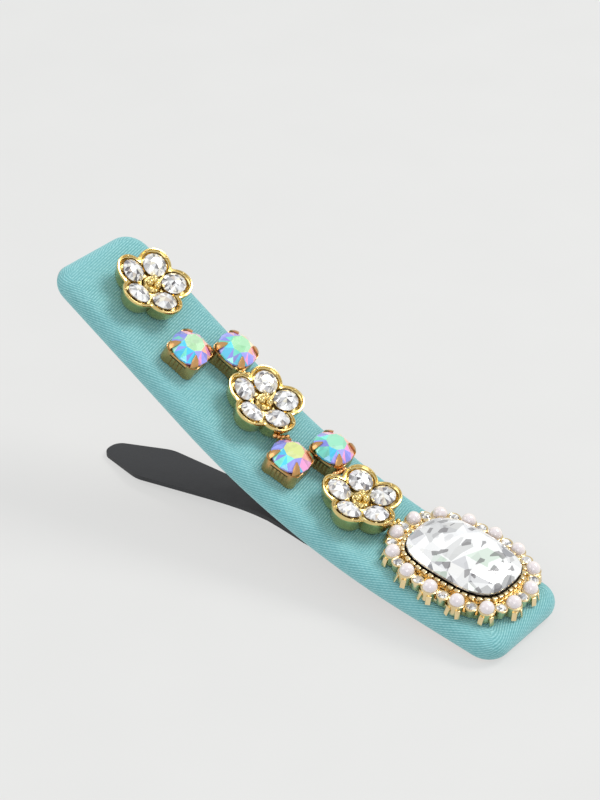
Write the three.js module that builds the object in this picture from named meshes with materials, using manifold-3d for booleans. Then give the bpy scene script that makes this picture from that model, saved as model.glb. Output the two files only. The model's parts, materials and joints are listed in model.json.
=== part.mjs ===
// Long padded hair clip, standing open: a curved, cloth-covered bar that carries three stone flowers, two pairs of
// claw-set crystals and a framed crystal, over a steel jaw that turns on a pin under the bar.
// Millimetres. +Z is up, +X runs from the jaw's tip to the framed crystal, and the clip stands on z = 0.
import * as THREE from "three";
import { mergeVertices } from "three/addons/utils/BufferGeometryUtils.js";
import Module from "manifold-3d";

const wasm = await Module();
wasm.setup();

// Padded bar. s runs along its top face from the brooch end, h is the height above that face.
const BAR_LENGTH = 109;
const BAR_WIDTH = 22.5;
const BAR_THICKNESS = 4.8;
const BAR_EDGE = 2.3;
const CORNER_RADIUS = 4.5;
const TILT = 0.166;
const BEND_START = 20.1;
const BEND_LENGTH = 51.4;
const BEND = 0.394;
const BEND_STEPS = 12;
const CLOTH = 0.7;
const HEM = 4.2;
const BACKING_MARGIN = 3.5;
const BACKING_THICKNESS = 0.4;
const BACKING_TOP = -4.85;
const PLATE_TOP = -5.4;
const PLATE_THICKNESS = 0.8;
const PLATE_WIDTH = 9.4;

// Hinge and lower jaw.
const HINGE_S = 42;
const PIN_DROP = 8.6;
const PIN_RADIUS = 0.75;
const EAR_RADIUS = 1.7;
const EAR_THICKNESS = 0.7;
const LOWER_EAR_Y = 3.0;
const UPPER_EAR_Y = 3.9;
const RUNNING_GAP = 0.06;
const JAW_THICKNESS = 0.9;
const JAW_TIP_X = -99.3;
const JAW_PITCH = 0.097;
const JAW_STRAIGHT = 28;
const JAW_BEND_RADIUS = 132;
const JAW_END_PITCH = -0.1;
const JAW_LENGTH = 79.6;
const JAW_LEAN = 0.026;
const WIRE = 0.6;
const COIL_RADIUS = 1.25;
const COIL_PITCH = 0.75;
const COIL_TURNS = 4;

// Ornaments: s and y of each centre.
const FLOWERS = [
  [95.5, 0.9],
  [65.0, 1.4],
  [38.2, -1.0],
];
const FLOWER_PHASE = -0.23;
const PETAL_CIRCLE = 4.27;
const PETAL_STONE = 2.05;
const PETAL_CUP = 2.9;
const PETAL_HEIGHT = 3.9;
const CRYSTALS = [
  [81.1, -3.1],
  [76.2, 5.1],
  [53.1, -4.1],
  [49.6, 4.4],
];
const CRYSTAL_STONE = 3.7;
const CRYSTAL_SEAT = 3.95;
const CRYSTAL_HEIGHT = 3.9;
const CRYSTAL_SPIN = 0.14;
const BROOCH = [16.3, 1.2];
const OVAL_POWER = 2.5;
const PEARL_OVAL = [12.9, 10.07];
const PEARL_COUNT = 14;
const PEARL_RADIUS = 1.36;
const PEARL_HEIGHT = 2.6;
const CENTRE_OVAL = [9.9, 7.3];
const CENTRE_HEIGHT = 3.4;
const BEAD_COUNT = 46;

const SEAT = 0.06;
const group = new THREE.Group();

const paint = (color, metalness, roughness, opacity = 1) =>
  new THREE.MeshStandardMaterial({ color, metalness, roughness, transparent: opacity < 1, opacity });
const TWILL = paint(0x84c8c6, 0, 0.9);
const FOAM = paint(0xe9e4d6, 0, 1);
const CARD = paint(0xcdbb95, 0, 0.9);
const LINING = paint(0xb07a48, 0, 0.9);
const BLACK_STEEL = paint(0x3d3e41, 0.3, 0.6);
const STEEL = paint(0x9a9ca0, 1, 0.35);
const YELLOW_GOLD = paint(0xc99b3f, 1, 0.3);
const ROSE_GOLD = paint(0xa9794f, 1, 0.35);
const PALE_GOLD = paint(0xcdb27c, 1, 0.3);
const CLEAR = paint(0xe6ecee, 0, 0.05, 0.6);
const AURORA = paint(0xbfe3c8, 0, 0.05, 0.6);
const PEARL = paint(0xf1ebe0, 0, 0.3);

// Solids.
function solid(geometry) {
  const bare = geometry.clone();
  bare.deleteAttribute("normal");
  bare.deleteAttribute("uv");
  const merged = mergeVertices(bare, 1e-4);
  return new wasm.Manifold(
    new wasm.Mesh({
      numProp: 3,
      vertProperties: new Float32Array(merged.attributes.position.array),
      triVerts: new Uint32Array(merged.index.array),
    }),
  );
}

const join = (...solids) => wasm.Manifold.union(solids);
const cut = (whole, ...tools) => wasm.Manifold.difference([whole, ...tools]);

function geometryOf(shape) {
  const { vertProperties, triVerts } = shape.getMesh();
  const geometry = new THREE.BufferGeometry();
  geometry.setAttribute("position", new THREE.BufferAttribute(vertProperties, 3));
  geometry.setIndex(new THREE.BufferAttribute(triVerts, 1));
  geometry.computeVertexNormals();
  return geometry;
}

function add(name, shape, material) {
  const mesh = new THREE.Mesh(shape.isBufferGeometry ? shape : geometryOf(shape), material);
  mesh.name = name;
  group.add(mesh);
  return mesh;
}

const extrude = (outline, depth, holes = []) => {
  const shape = new THREE.Shape(outline);
  shape.holes = holes.map((hole) => new THREE.Path(hole));
  return new THREE.ExtrudeGeometry(shape, { depth, bevelEnabled: false });
};

const turned = (profile, segments) =>
  new THREE.LatheGeometry(
    profile.map(([r, z]) => new THREE.Vector2(r, z)),
    segments,
  ).rotateX(Math.PI / 2);

const rod = (top, bottom, z0, z1, segments) =>
  new THREE.CylinderGeometry(top, bottom, z1 - z0, segments).rotateX(Math.PI / 2).translate(0, 0, (z0 + z1) / 2);

const axle = (radius, length, segments = 20) => new THREE.CylinderGeometry(radius, radius, length, segments);

// The bar's side view: the point at length s and height h, and the slope there.
const BEND_RADIUS = BEND_LENGTH / BEND;
const START_Z = -(BACKING_TOP - BACKING_THICKNESS) * Math.cos(TILT) - BACKING_MARGIN * Math.sin(TILT);

function slopeAt(s) {
  return TILT + (BEND * THREE.MathUtils.clamp(s - BEND_START, 0, BEND_LENGTH)) / BEND_LENGTH;
}

function along(s, h) {
  const slope = slopeAt(s);
  const straight = Math.min(s, BEND_START);
  const rest = Math.max(s - BEND_START - BEND_LENGTH, 0);
  const x =
    straight * Math.cos(TILT) + BEND_RADIUS * (Math.sin(slope) - Math.sin(TILT)) + rest * Math.cos(slope);
  const z =
    straight * Math.sin(TILT) + BEND_RADIUS * (Math.cos(TILT) - Math.cos(slope)) + rest * Math.sin(slope);
  return new THREE.Vector2(-x + h * Math.sin(slope), START_Z + z + h * Math.cos(slope));
}

// A closed outline of the side view between two lengths and two heights, with round ends of the given radius.
function sideOutline(s0, s1, h0, h1, radius = 0) {
  const arcSteps = radius > 0 ? 4 : 0;
  const end = (s, h, start) =>
    Array.from({ length: arcSteps + 1 }, (_, i) => {
      const angle = start - (i / Math.max(arcSteps, 1)) * (Math.PI / 2);
      return along(s + radius * Math.cos(angle), h + radius * Math.sin(angle));
    });
  const bent = Array.from({ length: BEND_STEPS + 1 }, (_, i) => BEND_START + (BEND_LENGTH * i) / BEND_STEPS).filter(
    (s) => s > s0 + radius + 1 && s < s1 - radius - 1,
  );
  return [
    ...end(s1 - radius, h1 - radius, Math.PI / 2),
    ...end(s1 - radius, h0 + radius, 0),
    ...[...bent].reverse().map((s) => along(s, h0)),
    ...end(s0 + radius, h0 + radius, -Math.PI / 2),
    ...end(s0 + radius, h1 - radius, -Math.PI),
    ...bent.map((s) => along(s, h1)),
  ];
}

// A square-edged strip that follows the bar, extruded across it.
function strip(s0, s1, h0, h1, width) {
  const sheet = extrude(sideOutline(s0, s1, h0, h1), width);
  return solid(sheet.translate(0, 0, -width / 2).rotateX(Math.PI / 2));
}

// How far a round of the given radius draws in at a distance from the end.
const drawnIn = (radius, distance) =>
  distance < radius ? radius - Math.sqrt(radius ** 2 - (radius - distance) ** 2) : 0;

// A cross-section of a pad that lies inset from the bar's own outline: a slice with rounded edges.
function padSlice(s, inset, bottom, top, edge) {
  const distance = Math.min(s - inset, BAR_LENGTH - inset - s);
  const squash = drawnIn(edge, distance);
  const half = BAR_WIDTH / 2 - inset - drawnIn(CORNER_RADIUS - inset / 2, distance);
  const round = edge - squash;
  const points = [];
  for (const [y, h, start] of [
    [half - round, top - edge, 0],
    [round - half, top - edge, 1],
    [round - half, bottom + edge, 2],
    [half - round, bottom + edge, 3],
  ]) {
    for (let i = 0; i <= 3; i += 1) {
      const angle = (start + i / 3) * (Math.PI / 2);
      const { x, y: z } = along(s, h + round * Math.sin(angle));
      points.push(new THREE.Vector3(x, y + round * Math.cos(angle), z));
    }
  }
  return points;
}

// A rounded pad that follows the bar: a skin lofted through its slices, closed by a fan at each end.
function pad(inset, bottom, top, edge) {
  const ends = [0.04, 0.2, 0.5, 1].map((f) => f * (CORNER_RADIUS - inset / 2));
  const bent = Array.from({ length: BEND_STEPS + 1 }, (_, i) => BEND_START + (BEND_LENGTH * i) / BEND_STEPS);
  const stations = [
    ...ends.map((d) => inset + d),
    ...bent,
    ...[...ends].reverse().map((d) => BAR_LENGTH - inset - d),
  ];
  const slices = stations.map((s) => padSlice(s, inset, bottom, top, edge));
  const around = slices[0].length;
  const at = (row, column) => row * around + (column % around);
  const faces = [];
  for (let row = 0; row + 1 < slices.length; row += 1) {
    for (let column = 0; column < around; column += 1) {
      faces.push(at(row, column), at(row + 1, column), at(row, column + 1));
      faces.push(at(row, column + 1), at(row + 1, column), at(row + 1, column + 1));
    }
  }
  const last = slices.length - 1;
  for (let column = 1; column + 1 < around; column += 1) {
    faces.push(at(0, 0), at(0, column), at(0, column + 1));
    faces.push(at(last, 0), at(last, column + 1), at(last, column));
  }
  const geometry = new THREE.BufferGeometry().setFromPoints(slices.flat());
  return solid(geometry.setIndex(faces));
}

function buildBar() {
  const skin = pad(0, -BAR_THICKNESS, 0, BAR_EDGE);
  const hollow = pad(CLOTH, CLOTH - BAR_THICKNESS, -CLOTH, BAR_EDGE - CLOTH);
  const opening = strip(HEM, BAR_LENGTH - HEM, -BAR_THICKNESS - 2, -BAR_THICKNESS / 2, BAR_WIDTH - 2 * HEM);
  add("cloth_cover", cut(skin, hollow, opening), TWILL);
  const inner = CLOTH + 0.9;
  add("foam_pad", pad(inner, -2.9, -CLOTH - 0.1, 0.5), FOAM);
  add("stiffener", pad(inner + 0.3, -3.9, -3.0, 0.2), CARD);
  add("backing", pad(BACKING_MARGIN, BACKING_TOP - BACKING_THICKNESS, BACKING_TOP, 0.1), LINING);
}

// Hinge.
const pinAt = along(HINGE_S, -PIN_DROP);
const onPin = (geometry, y) => geometry.translate(pinAt.x, y, pinAt.y);

function ears(y, top, bottom) {
  const sides = [-1, 1].map((side) => {
    const plate = new THREE.BoxGeometry(2 * EAR_RADIUS, EAR_THICKNESS, top - bottom);
    const centre = side * (y + EAR_THICKNESS / 2);
    return join(
      solid(onPin(axle(EAR_RADIUS, EAR_THICKNESS), centre)),
      solid(onPin(plate.translate(0, 0, (top + bottom) / 2), centre)),
    );
  });
  return join(...sides);
}

const pinHole = () => solid(onPin(axle(PIN_RADIUS + RUNNING_GAP, 30, 24), 0));

function buildUpperPlate() {
  const plate = strip(19, 98, PLATE_TOP - PLATE_THICKNESS, PLATE_TOP, PLATE_WIDTH);
  const rise = along(HINGE_S, PLATE_TOP - PLATE_THICKNESS / 2).y - pinAt.y;
  add("upper_plate", cut(join(plate, ears(UPPER_EAR_Y, rise, 0)), pinHole()), BLACK_STEEL);
}

function buildPin() {
  const reach = UPPER_EAR_Y + EAR_THICKNESS;
  const head = (side) => solid(onPin(axle(1.25, 0.45), side * (reach + 0.3)));
  const shank = solid(onPin(axle(PIN_RADIUS, 2 * reach + 0.4), 0));
  add("hinge_pin", join(shank, head(1), head(-1)), STEEL);
}

// The jaw's side view: the point of its upper face at length t from the tip.
function jawAt(t, depth = 0) {
  const bendEnd = JAW_STRAIGHT + JAW_BEND_RADIUS * (JAW_PITCH - JAW_END_PITCH);
  const bent = THREE.MathUtils.clamp(t, JAW_STRAIGHT, bendEnd) - JAW_STRAIGHT;
  const straight = Math.min(t, JAW_STRAIGHT);
  const rest = Math.max(t - bendEnd, 0);
  const pitch = JAW_PITCH - bent / JAW_BEND_RADIUS;
  const x =
    straight * Math.cos(JAW_PITCH) +
    JAW_BEND_RADIUS * (Math.sin(JAW_PITCH) - Math.sin(pitch)) +
    rest * Math.cos(pitch);
  const z =
    straight * Math.sin(JAW_PITCH) +
    JAW_BEND_RADIUS * (Math.cos(pitch) - Math.cos(JAW_PITCH)) +
    rest * Math.sin(pitch);
  return new THREE.Vector2(
    JAW_TIP_X + x + depth * Math.sin(pitch),
    JAW_THICKNESS + z - depth * Math.cos(pitch),
  );
}

// Seen from above, the jaw is a spear head with a blunt round point that narrows to a long waist.
// In front of the pin it leans a little to one side, as a pressed and sprung jaw does.
function jawPlan() {
  const x = (t) => jawAt(t).x;
  const shape = new THREE.Shape();
  shape.moveTo(x(0) + 0.2, 0);
  shape.quadraticCurveTo(x(0) + 0.2, 1.9, x(2), 2.5);
  shape.lineTo(x(10.4), 5.05);
  shape.quadraticCurveTo(x(12.2), 5.6, x(14), 5.35);
  shape.lineTo(x(36), 3.2);
  shape.quadraticCurveTo(x(39), 2.9, x(43), 2.9);
  shape.lineTo(x(52), 3.7);
  shape.lineTo(x(66), 3.7);
  shape.lineTo(x(JAW_LENGTH - 3), 5.2);
  shape.quadraticCurveTo(x(JAW_LENGTH), 5.2, x(JAW_LENGTH), 2.6);
  const edge = shape.getPoints(5);
  const lean = (p, side) => new THREE.Vector2(p.x, side * p.y + JAW_LEAN * Math.max(pinAt.x - p.x, 0));
  const near = edge.map((p) => lean(p, 1));
  const far = edge.slice(1).reverse().map((p) => lean(p, -1));
  return extrude([...far, ...near], 30).translate(0, 0, -8);
}

function buildJaw() {
  const steps = 26;
  const upper = Array.from({ length: steps + 1 }, (_, i) => jawAt((i / steps) * (JAW_LENGTH + 1) - 0.5));
  const lower = Array.from({ length: steps + 1 }, (_, i) =>
    jawAt((i / steps) * (JAW_LENGTH + 1) - 0.5, JAW_THICKNESS),
  ).reverse();
  const sheet = extrude([...upper, ...lower], 20).translate(0, 0, -10).rotateX(Math.PI / 2);
  const blade = solid(sheet).intersect(solid(jawPlan()));
  const drop = jawAt(pinAt.x - JAW_TIP_X, JAW_THICKNESS / 2).y - pinAt.y;
  add("lower_jaw", cut(join(blade, ears(LOWER_EAR_Y, 0, drop)), pinHole()), BLACK_STEEL);
}

// A coil round the pin, with one leg under the upper plate and one on the jaw's lever.
class SpringPath extends THREE.Curve {
  getPoint(u) {
    const leg = 0.14;
    const half = (COIL_PITCH * COIL_TURNS) / 2;
    const startAngle = 0.5 * Math.PI;
    const turn = (angle) => new THREE.Vector2(COIL_RADIUS * Math.cos(angle), COIL_RADIUS * Math.sin(angle));
    const total = (COIL_TURNS + 0.5) * 2 * Math.PI;
    const reach = 7;
    if (u < leg) {
      const out = (1 - u / leg) * reach;
      return new THREE.Vector3(pinAt.x + out, -half, pinAt.y + COIL_RADIUS - out * 0.19);
    }
    if (u > 1 - leg) {
      const out = ((u - 1 + leg) / leg) * reach;
      return new THREE.Vector3(pinAt.x + out, half, pinAt.y - COIL_RADIUS - out * 0.085);
    }
    const w = (u - leg) / (1 - 2 * leg);
    const p = turn(startAngle + w * total);
    return new THREE.Vector3(pinAt.x + p.x, -half + 2 * half * w, pinAt.y + p.y);
  }
}

function buildSpring() {
  const section = new THREE.Shape();
  section.absarc(0, 0, WIRE / 2, 0, 2 * Math.PI);
  const geometry = new THREE.ExtrudeGeometry(section, {
    steps: 56,
    curveSegments: 3,
    extrudePath: new SpringPath(),
    bevelEnabled: false,
  });
  add("torsion_spring", solid(geometry), STEEL);
}

// Puts a shape made round the +Z axis on the bar's top face.
function onBar(shape, [s, y], spin = 0, lift = 0) {
  const foot = along(s, lift);
  return shape
    .rotate(0, 0, THREE.MathUtils.radToDeg(spin))
    .rotate(0, THREE.MathUtils.radToDeg(slopeAt(s)), 0)
    .translate(foot.x, y, foot.y);
}

const stoneProfile = (radius, grow = 0) => [
  [0, -0.66 * radius - grow],
  [radius + grow, 0],
  [radius + grow, 0.1 * radius],
  [0.62 * radius, 0.4 * radius],
  [0, 0.4 * radius],
];

const pocketProfile = (radius, height) => [
  [0, -0.66 * radius - 2 * SEAT],
  [radius + SEAT, -SEAT],
  [radius + SEAT, height],
  [0, height],
];

function buildFlower(index) {
  const place = FLOWERS[index];
  const spots = Array.from({ length: 5 }, (_, k) => {
    const angle = FLOWER_PHASE + (k * 2 * Math.PI) / 5;
    return [PETAL_CIRCLE * Math.cos(angle), PETAL_CIRCLE * Math.sin(angle)];
  });
  const cup = solid(rod(PETAL_CUP, 1.9, 0.3, PETAL_HEIGHT + 0.2, 12));
  const cups = spots.map(([x, y]) => cup.translate(x, y, 0));
  const pockets = spots.map(([x, y]) =>
    solid(turned(pocketProfile(PETAL_STONE, 3), 10)).translate(x, y, PETAL_HEIGHT),
  );
  const base = solid(rod(5.4, 5.4, 0.1, 0.9, 20));
  const post = solid(rod(1.5, 1.5, 0.5, PETAL_HEIGHT, 12));
  const ball = new THREE.SphereGeometry(1.35, 8, 6).rotateX(Math.PI / 2);
  const knob = solid(ball).translate(0, 0, PETAL_HEIGHT + 0.2);
  const setting = cut(join(base, post, ...cups), ...pockets);
  add(`flower_${index + 1}_setting`, onBar(join(setting, knob), place, 0, 0.2), YELLOW_GOLD);
  for (const [k, [x, y]] of spots.entries()) {
    const stone = solid(turned(stoneProfile(PETAL_STONE), 10)).translate(x, y, PETAL_HEIGHT);
    add(`flower_${index + 1}_stone_${k + 1}`, onBar(stone, place, 0, 0.2), CLEAR);
  }
}

function buildCrystal(index) {
  const place = CRYSTALS[index];
  const body = new THREE.BoxGeometry(2 * CRYSTAL_SEAT, 2 * CRYSTAL_SEAT, CRYSTAL_HEIGHT - 0.5);
  const block = solid(body.translate(0, 0, (CRYSTAL_HEIGHT - 0.5) / 2 + 0.1));
  const trim = solid(rod(5.0, 4.2, 0, 6, 16));
  const claws = [45, 135, 225, 315].map((angle) => {
    const claw = rod(0.45, 0.65, 0.3, CRYSTAL_HEIGHT + 1.0, 6).translate(CRYSTAL_STONE + 0.55, 0, 0);
    return solid(claw.rotateZ(THREE.MathUtils.degToRad(angle)));
  });
  const slots = [0, 90].map((angle) => {
    const slot = new THREE.BoxGeometry(12, 2.6, 1.3).translate(0, 0, 1.5);
    return solid(slot.rotateZ(THREE.MathUtils.degToRad(angle)));
  });
  const pocket = solid(turned(pocketProfile(CRYSTAL_STONE, 4), 12)).translate(0, 0, CRYSTAL_HEIGHT);
  const setting = cut(join(block.intersect(trim), ...claws), pocket, ...slots);
  add(`crystal_${index + 1}_setting`, onBar(setting, place, CRYSTAL_SPIN, 0.1), ROSE_GOLD);
  const stone = solid(turned(stoneProfile(CRYSTAL_STONE), 12)).translate(0, 0, CRYSTAL_HEIGHT);
  add(`crystal_${index + 1}`, onBar(stone, place, CRYSTAL_SPIN, 0.1), AURORA);
}

// Cushion ovals of the framed crystal.
function oval([a, b], count, grow = () => 0) {
  return Array.from({ length: count }, (_, i) => {
    const angle = (i / count) * 2 * Math.PI;
    const c = Math.cos(angle);
    const s = Math.sin(angle);
    const sum = Math.abs(c / a) ** OVAL_POWER + Math.abs(s / b) ** OVAL_POWER;
    const reach = sum ** (-1 / OVAL_POWER) + grow(angle);
    return new THREE.Vector2(reach * c, reach * s);
  });
}

function pearlSpots() {
  const curve = new THREE.CatmullRomCurve3(
    oval(PEARL_OVAL, 72).map((p) => new THREE.Vector3(p.x, p.y, 0)),
    true,
  );
  return Array.from({ length: PEARL_COUNT }, (_, k) => curve.getPointAt((0.25 + k / PEARL_COUNT) % 1));
}

const ovalBlock = ([a, b], grow, z0, z1, count = 32) =>
  solid(extrude(oval([a + grow, b + grow], count), z1 - z0)).translate(0, 0, z0);

function buildBrooch() {
  const spots = pearlSpots();
  const cups = spots.map(({ x, y }) => solid(rod(1.3, 1.05, 0.5, PEARL_HEIGHT - 0.4, 8)).translate(x, y, 0));
  const claws = spots.map(({ x, y }) => {
    const claw = new THREE.CylinderGeometry(0.22, 0.75, 2.0, 4).rotateX(Math.PI / 2).translate(1.55, 0, 1.3);
    return solid(claw.rotateZ(Math.atan2(y, x))).translate(x, y, 0);
  });
  const pearls = spots.map(({ x, y }) =>
    solid(new THREE.SphereGeometry(PEARL_RADIUS + 0.1, 10, 6)).translate(x, y, PEARL_HEIGHT),
  );
  const plate = ovalBlock(PEARL_OVAL, 0.2, 0.1, 0.9);
  const wall = ovalBlock(CENTRE_OVAL, 1.2, 0.5, CENTRE_HEIGHT - 0.9);
  const well = ovalBlock(CENTRE_OVAL, 0.15, 0.95, 9);
  const setting = cut(join(plate, wall, ...cups, ...claws), well, ...pearls);
  add("brooch_setting", onBar(setting, BROOCH, 0, 0.35), PALE_GOLD);

  const bumps = (angle) => 0.22 * Math.abs(Math.cos((angle * BEAD_COUNT) / 2));
  const outer = oval([CENTRE_OVAL[0] + 0.95, CENTRE_OVAL[1] + 0.95], BEAD_COUNT * 2, bumps);
  const inner = oval([CENTRE_OVAL[0] + 0.15, CENTRE_OVAL[1] + 0.15], 32);
  const band = solid(extrude(outer, 1.0, [inner])).translate(0, 0, CENTRE_HEIGHT - 0.8);
  add("bead_band", onBar(band, BROOCH, 0, 0.35), PALE_GOLD);

  const cushion = new THREE.ExtrudeGeometry(new THREE.Shape(oval(CENTRE_OVAL, 16)), {
    depth: 0.4,
    bevelThickness: 2.4,
    bevelSize: 3.6,
    bevelOffset: -3.6,
    bevelSegments: 2,
  });
  add("centre_crystal", onBar(solid(cushion).translate(0, 0, CENTRE_HEIGHT), BROOCH, 0, 0.35), CLEAR);

  for (const [k, { x, y }] of spots.entries()) {
    const pearl = solid(new THREE.SphereGeometry(PEARL_RADIUS, 10, 7)).translate(x, y, PEARL_HEIGHT);
    add(`pearl_${k + 1}`, onBar(pearl, BROOCH, 0, 0.35), PEARL);
  }
}

buildBar();
buildUpperPlate();
buildPin();
buildSpring();
for (const index of FLOWERS.keys()) {
  buildFlower(index);
}
for (const index of CRYSTALS.keys()) {
  buildCrystal(index);
}
buildBrooch();
buildJaw();

// The part's origin is under the middle of its box.
const box = new THREE.Box3().setFromObject(group);
const middle = box.getCenter(new THREE.Vector3());
for (const mesh of group.children) {
  mesh.geometry.translate(-middle.x, -middle.y, -box.min.z);
}

export default group;
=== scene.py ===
"""A padded twill hair clip with stone flowers, claw-set crystals and a framed crystal, standing open."""

import json
import math
import random

import bmesh
import bpy
from mathutils import Matrix, Vector


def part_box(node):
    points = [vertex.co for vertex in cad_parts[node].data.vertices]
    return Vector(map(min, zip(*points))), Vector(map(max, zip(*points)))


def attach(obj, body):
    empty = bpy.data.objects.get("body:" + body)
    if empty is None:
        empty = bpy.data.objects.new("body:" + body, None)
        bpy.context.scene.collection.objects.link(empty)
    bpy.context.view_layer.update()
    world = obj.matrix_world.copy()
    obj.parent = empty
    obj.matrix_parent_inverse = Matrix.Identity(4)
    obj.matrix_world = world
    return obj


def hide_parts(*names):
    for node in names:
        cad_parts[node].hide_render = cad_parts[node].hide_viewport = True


MM = 0.001

# The bar, in millimetres and radians: s runs along the top face from the brooch end, and h is the
# height above that face.
BAR_LENGTH = 109.0
BAR_WIDTH = 22.5
BAR_THICKNESS = 4.8
BAR_EDGE = 2.3
CORNER_RADIUS = 4.5
TILT = 0.166
BEND_START = 20.1
BEND_LENGTH = 51.4
BEND = 0.394
HINGE_S = 42.0
PIN_DROP = 8.6

# The cloth over the padding: its crown, its ripple, its droop at the far end, and how far a setting
# presses it flat.
CROWN_RISE = 0.16
CROWN_REACH = 9.0
RIPPLE = 0.03
RIPPLE_FADE = 3.0
DROOP = 0.9
DROOP_START = 98.0
PRESS_SHARE = 0.85
PRESS_SPREAD = 3.0
COVER_BANDS = 73
COVER_CUTS_ACROSS = 7
COVER_CUT_GAP = 1.15

# The twill, in millimetres: the pitch of its ribs, the length of a yarn's float, and how ribs lean.
TOP_PITCH, TOP_FLOAT, TOP_SKEW = 0.47, 1.3, -0.176
SKIRT_PITCH, SKIRT_FLOAT, SKIRT_SLANT = 0.44, 0.8, math.radians(27)

# Ornaments: s and y of each centre, and sizes.
FLOWERS = [(95.5, 0.9), (65.0, 1.4), (38.2, -1.0)]
FLOWER_PHASE = -0.23
PETAL_CIRCLE = 4.27
PETAL_STONE = 2.32
PETAL_HEIGHT = 3.8
PETAL_LEAN = 0.24
CRYSTALS = [(81.1, -3.1), (76.2, 5.1), (53.1, -4.1), (49.6, 4.4)]
CRYSTAL_SPIN = 0.14
CRYSTAL_STONE = 3.85
CRYSTAL_SEAT = 3.4
CRYSTAL_HEIGHT = 3.6
BROOCH = (16.3, 1.2)
PEARL_OVAL = (12.9, 10.07, 2.5)
PEARL_COUNT = 14
PEARL_RADIUS = 1.36
PEARL_HEIGHT = 2.6
CENTRE_OVAL = (10.1, 7.5, 3.1)
CENTRE_HEIGHT = 3.4
BEAD_COUNT = 46
SMALL_STONE = 0.9
WIRE = 0.2
SMOOTH_ANGLE = math.radians(38)

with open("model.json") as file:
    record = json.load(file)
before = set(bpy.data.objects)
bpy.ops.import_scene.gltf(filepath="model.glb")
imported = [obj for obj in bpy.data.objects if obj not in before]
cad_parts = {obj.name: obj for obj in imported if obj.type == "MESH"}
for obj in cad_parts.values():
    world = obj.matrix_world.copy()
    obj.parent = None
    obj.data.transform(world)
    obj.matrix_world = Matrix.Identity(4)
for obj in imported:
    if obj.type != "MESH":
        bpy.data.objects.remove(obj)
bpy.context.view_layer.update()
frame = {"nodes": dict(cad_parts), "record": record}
hinge = Vector(frame["record"]["behaviour"]["joints"][0]["pos_m"]) / MM
cover_low, cover_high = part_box("cloth_cover")
BAR_Y = (cover_low[1] + cover_high[1]) / 2 / MM


# ---------------------------------------------------------------- the bar's own frame


def slope_at(s):
    bent = min(max(s - BEND_START, 0.0), BEND_LENGTH)
    return TILT + BEND * bent / BEND_LENGTH


def along(s, h):
    """x and z of a point of the bar's side view, before the part's own shift."""
    slope = slope_at(s)
    radius = BEND_LENGTH / BEND
    straight = min(s, BEND_START)
    rest = max(s - BEND_START - BEND_LENGTH, 0.0)
    x = straight * math.cos(TILT) + radius * (math.sin(slope) - math.sin(TILT)) + rest * math.cos(slope)
    z = straight * math.sin(TILT) + radius * (math.cos(TILT) - math.cos(slope)) + rest * math.sin(slope)
    return -x + h * math.sin(slope), z + h * math.cos(slope)


PIN_X, PIN_Z = along(HINGE_S, -PIN_DROP)


def bar_point(s, y, h):
    x, z = along(s, h)
    return Vector((x + hinge.x - PIN_X, y + BAR_Y, z + hinge.z - PIN_Z))


def on_bar(place, spin=0.0, lift=0.0):
    """The matrix that stands a shape made round +Z on the bar's top face."""
    s, y = place
    turn = Matrix.Rotation(slope_at(s), 4, "Y") @ Matrix.Rotation(spin, 4, "Z")
    return Matrix.Translation(bar_point(s, y, lift)) @ turn


# ---------------------------------------------------------------- materials


def add_group(name, inputs, outputs):
    group = bpy.data.node_groups.new(name, "ShaderNodeTree")
    for socket, kind, default in inputs:
        made = group.interface.new_socket(socket, in_out="INPUT", socket_type=kind)
        if default is not None:
            made.default_value = default
    for socket, kind in outputs:
        group.interface.new_socket(socket, in_out="OUTPUT", socket_type=kind)
    return group


class Nodes:
    """Short hands for one node tree."""

    def __init__(self, tree):
        self.tree = tree

    def add(self, kind, **values):
        node = self.tree.nodes.new(kind)
        for key, value in values.items():
            if hasattr(node, key):
                setattr(node, key, value)
            else:
                self.put(node.inputs[key.replace("_", " ")], value)
        return node

    def put(self, socket, value):
        if isinstance(value, bpy.types.NodeSocket):
            self.tree.links.new(value, socket)
        else:
            socket.default_value = value

    def math(self, operation, a, b=0.0, c=None, clamp=False):
        node = self.tree.nodes.new("ShaderNodeMath")
        node.operation = operation
        node.use_clamp = clamp
        self.put(node.inputs[0], a)
        self.put(node.inputs[1], b)
        if c is not None:
            self.put(node.inputs[2], c)
        return node.outputs[0]

    def noise(self, vector, scale, detail=2.0, roughness=0.5):
        node = self.tree.nodes.new("ShaderNodeTexNoise")
        self.put(node.inputs["Vector"], vector)
        node.inputs["Scale"].default_value = scale
        node.inputs["Detail"].default_value = detail
        node.inputs["Roughness"].default_value = roughness
        return node.outputs["Fac"]

    def ramp(self, value, low, high, to_low=0.0, to_high=1.0):
        node = self.tree.nodes.new("ShaderNodeMapRange")
        self.put(node.inputs["Value"], value)
        limits = {"From Min": low, "From Max": high, "To Min": to_low, "To Max": to_high}
        for socket, number in limits.items():
            self.put(node.inputs[socket], number)
        return node.outputs["Result"]

    def mix(self, factor, a, b):
        node = self.tree.nodes.new("ShaderNodeMix")
        node.data_type = "RGBA"
        self.put(node.inputs["Factor"], factor)
        self.put(node.inputs["A"], a)
        self.put(node.inputs["B"], b)
        return node.outputs["Result"]

    def bump(self, height, distance, strength=1.0):
        node = self.tree.nodes.new("ShaderNodeBump")
        node.inputs["Strength"].default_value = strength
        node.inputs["Distance"].default_value = distance
        self.put(node.inputs["Height"], height)
        return node.outputs["Normal"]

    def object_place(self):
        return self.tree.nodes.new("ShaderNodeTexCoord").outputs["Object"]

    def attribute(self, name):
        node = self.tree.nodes.new("ShaderNodeAttribute")
        node.attribute_name = name
        return node


def new_material(name, **shader):
    material = bpy.data.materials.new(name)
    material.use_nodes = True
    tree = material.node_tree
    principled = tree.nodes["Principled BSDF"]
    for key, value in shader.items():
        principled.inputs[key.replace("_", " ")].default_value = value
    return material, Nodes(tree), principled.inputs


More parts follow.
